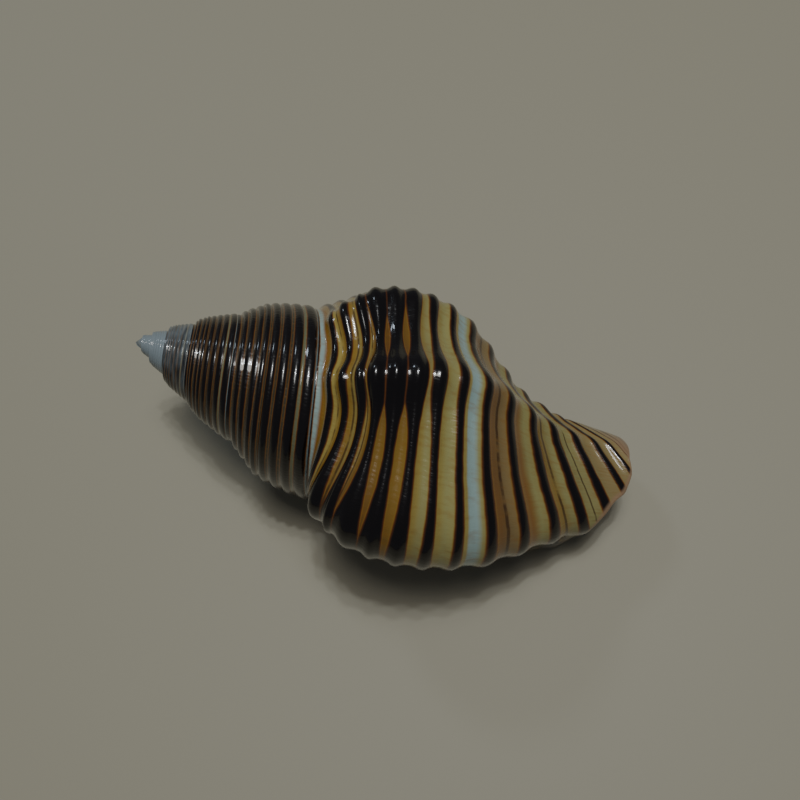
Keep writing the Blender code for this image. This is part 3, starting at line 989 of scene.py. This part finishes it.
class WhelkColours(bpy.types.PropertyGroup):
    """Colours of the shell."""

    ink: colour_setting("Ink", "The darkest part of a band", (0.005, 0.003, 0.003))
    umber: colour_setting("Umber", "The bands' edges", (0.035, 0.012, 0.004))
    rust: colour_setting("Rust", "Between the bands on a fold", (0.095, 0.027, 0.006))
    amber: colour_setting("Amber", "Warm edges of the ground", (0.25, 0.105, 0.012))
    ochre: colour_setting("Ochre", "The ground beside a band", (0.30, 0.185, 0.030))
    straw: colour_setting("Straw", "The clear ground of the last whorl", (0.37, 0.29, 0.075))
    lichen: colour_setting("Lichen", "The greenish pale ground", (0.33, 0.31, 0.12))
    sand: colour_setting("Sand", "The pale ground near the canal", (0.31, 0.24, 0.10))
    ice: colour_setting("Ice", "The bluish white bands", (0.32, 0.43, 0.40))
    coral: colour_setting("Coral", "The lip and the canal", (0.32, 0.20, 0.115))
    groove: colour_setting("Groove", "Between the bands of the spire", (0.060, 0.045, 0.025))
    moss: colour_setting("Moss", "The spire's wide pale band", (0.15, 0.155, 0.085))
    frost: colour_setting("Frost", "Above the spire's sutures", (0.13, 0.18, 0.185))
    tip: colour_setting("Tip", "The worn tip", (0.27, 0.32, 0.34))
    enamel: colour_setting("Enamel", "Inside the mouth", (0.80, 0.76, 0.68))


class WhelkStage(bpy.types.PropertyGroup):
    """The table and the lights."""

    floor_size: bpy.props.FloatProperty(
        name="Table", description="Width of the table top", default=1.6, min=0.1,
        unit="LENGTH", subtype="DISTANCE",
    )
    floor_colour: colour_setting("Table colour", "The plain table top", (0.35, 0.32, 0.235))
    world_colour: colour_setting("Room colour", "The light from all round", (0.80, 0.88, 1.0))
    world_strength: bpy.props.FloatProperty(
        name="Room light", description="Strength of the light from all round", default=0.10,
        min=0.0,
    )
    lamp_power: bpy.props.FloatProperty(
        name="Lamp", description="Power of the lamp above the shell", default=0.78, min=0.0,
        unit="POWER", subtype="POWER",
    )


class WHELK_OT_grow_shell(bpy.types.Operator):
    """Grow the shell, open its mouth, lay it down and colour it"""

    bl_idname = "whelk.grow_shell"
    bl_label = "Grow the shell"

    def execute(self, context):
        shell = whorls()
        for material in (outside_material(), inside_material()):
            shell.data.materials.append(material)
        open_mouth(shell, hollow())
        lay_down(shell)
        shell.data.set_sharp_from_angle(angle=math.radians(SHARP_ANGLE))
        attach(shell, "root")
        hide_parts(SOLID)
        return {"FINISHED"}


class WHELK_OT_set_stage(bpy.types.Operator):
    """Put the shell on a pale table, with soft lamps and the photograph's camera"""

    bl_idname = "whelk.set_stage"
    bl_label = "Set the stage"

    def execute(self, context):
        settings = context.scene.whelk_stage
        stage_floor(settings)
        for name, size, share, place, colour in LAMPS:
            area_light(name, size, settings.lamp_power * share, place, colour)
        studio_world(settings.world_strength, settings.world_colour[:])
        photograph_camera()
        return {"FINISHED"}


class WHELK_PT_sidebar(bpy.types.Panel):
    """The shell's sizes, colours and stage"""

    bl_idname = "WHELK_PT_sidebar"
    bl_label = "Waved whelk shell"
    bl_space_type = "VIEW_3D"
    bl_region_type = "UI"
    bl_category = "Shell"

    def draw(self, context):
        for group in GROUPS:
            settings = getattr(context.scene, group)
            box = self.layout.box()
            for name in settings.__annotations__:
                box.prop(settings, name)
        self.layout.operator(WHELK_OT_grow_shell.bl_idname)
        self.layout.operator(WHELK_OT_set_stage.bl_idname)


GROUPS = {"whelk_sizes": WhelkSizes, "whelk_colours": WhelkColours, "whelk_stage": WhelkStage}
OPERATORS = (WHELK_OT_grow_shell, WHELK_OT_set_stage)


def register():
    for name, group in GROUPS.items():
        bpy.utils.register_class(group)
        setattr(bpy.types.Scene, name, bpy.props.PointerProperty(type=group))
    for operator in OPERATORS:
        bpy.utils.register_class(operator)
    bpy.utils.register_class(WHELK_PT_sidebar)


def unregister():
    bpy.utils.unregister_class(WHELK_PT_sidebar)
    for operator in OPERATORS:
        bpy.utils.unregister_class(operator)
    for name, group in GROUPS.items():
        delattr(bpy.types.Scene, name)
        bpy.utils.unregister_class(group)


def plain(bounds):
    """Bounds as lists of numbers, which JSON can hold."""
    return [[float(value) for value in corner] for corner in bounds]


def main():
    register()
    solid = plain(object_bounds())
    bpy.ops.whelk.grow_shell()
    bpy.ops.whelk.set_stage()
    {"cad": solid, "visual": plain(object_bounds())}


if __name__ == "__main__":
    main()
